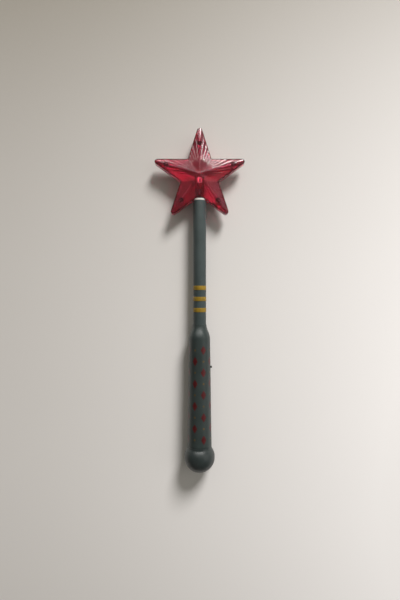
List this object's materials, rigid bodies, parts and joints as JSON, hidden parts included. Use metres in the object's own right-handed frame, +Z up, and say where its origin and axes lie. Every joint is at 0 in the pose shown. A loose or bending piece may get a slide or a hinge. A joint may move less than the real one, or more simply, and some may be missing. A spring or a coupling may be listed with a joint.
{
  "type": "magic wand",
  "caption": "Toy magic wand: a light-up clear red star on a slim shaft with painted bands, a patterned tapered grip, a slide switch and a ball pommel that unscrews.",
  "frame": {"origin": "the lowest point of the ball pommel, on the wand's axis", "axes": "+Z runs up the wand from the ball to the star's top tip, -Y is the front, +X is the side with the switch"},
  "size_m": [0.0934, 0.0316, 0.3578],
  "materials": {
    "star_red": "clear tinted, glossy",
    "lamp_clear": "clear epoxy, glossy",
    "holder_plastic": "satin",
    "collar_white": "satin",
    "shaft_grey": "satin",
    "grip_grey": "satin, fine grain",
    "band_yellow": "satin",
    "black_plastic": "satin",
    "seal_rubber": "matte",
    "contact_brass": "satin",
    "plated_steel": "satin",
    "cell_can": "glossy printed sleeve, no print",
    "liner_plastic": "matte",
    "board_green": "satin",
    "wire_red": "satin",
    "wire_black": "satin",
    "resistor_beige": "gloss"
  },
  "bodies": {
    "wand": {"star_front_shell": "star_red", "star_back_shell": "star_red", "led_lamp": "lamp_clear", "led_leads": "plated_steel", "led_holder": "holder_plastic", "neck_collar": "collar_white", "shaft_tube": "shaft_grey", "band_upper": "band_yellow", "band_middle": "band_yellow", "band_lower": "band_yellow", "grip_shell": "grip_grey", "wire_red": "wire_red", "wire_black": "wire_black", "circuit_board": "board_green", "board_screws": "plated_steel", "resistor": "resistor_beige", "switch_base": "black_plastic", "switch_cover": "plated_steel", "switch_pins": "plated_steel", "contact_carrier": "liner_plastic", "positive_contact": "contact_brass", "battery_upper": "cell_can", "battery_lower": "cell_can", "battery_tube": "liner_plastic", "return_strip": "contact_brass"},
    "knob": {"switch_knob": "black_plastic"},
    "pommel_carriage": {"pommel_seal": "seal_rubber"},
    "pommel_cap": {"pommel_ball": "grip_grey", "cap_contact": "contact_brass", "battery_spring": "plated_steel"}
  },
  "joints": [
    {"name": "switch_slide", "type": "slide", "parent": "wand", "child": "knob", "axis": [0, 0, 1], "range_m": [0, 0.002]},
    {"name": "pommel_lift", "type": "slide", "parent": "wand", "child": "pommel_carriage", "axis": [0, 0, -1], "range_m": [0, 0.009]},
    {"name": "pommel_turn", "type": "hinge", "parent": "pommel_carriage", "child": "pommel_cap", "pos_m": [0, 0, 0.02], "axis": [0, 0, -1], "range_deg": [0, 1080]}
  ],
  "couplings": [
    {"joint": "pommel_lift", "follows": "pommel_turn", "m_per_rad": 0.00047746}
  ]
}
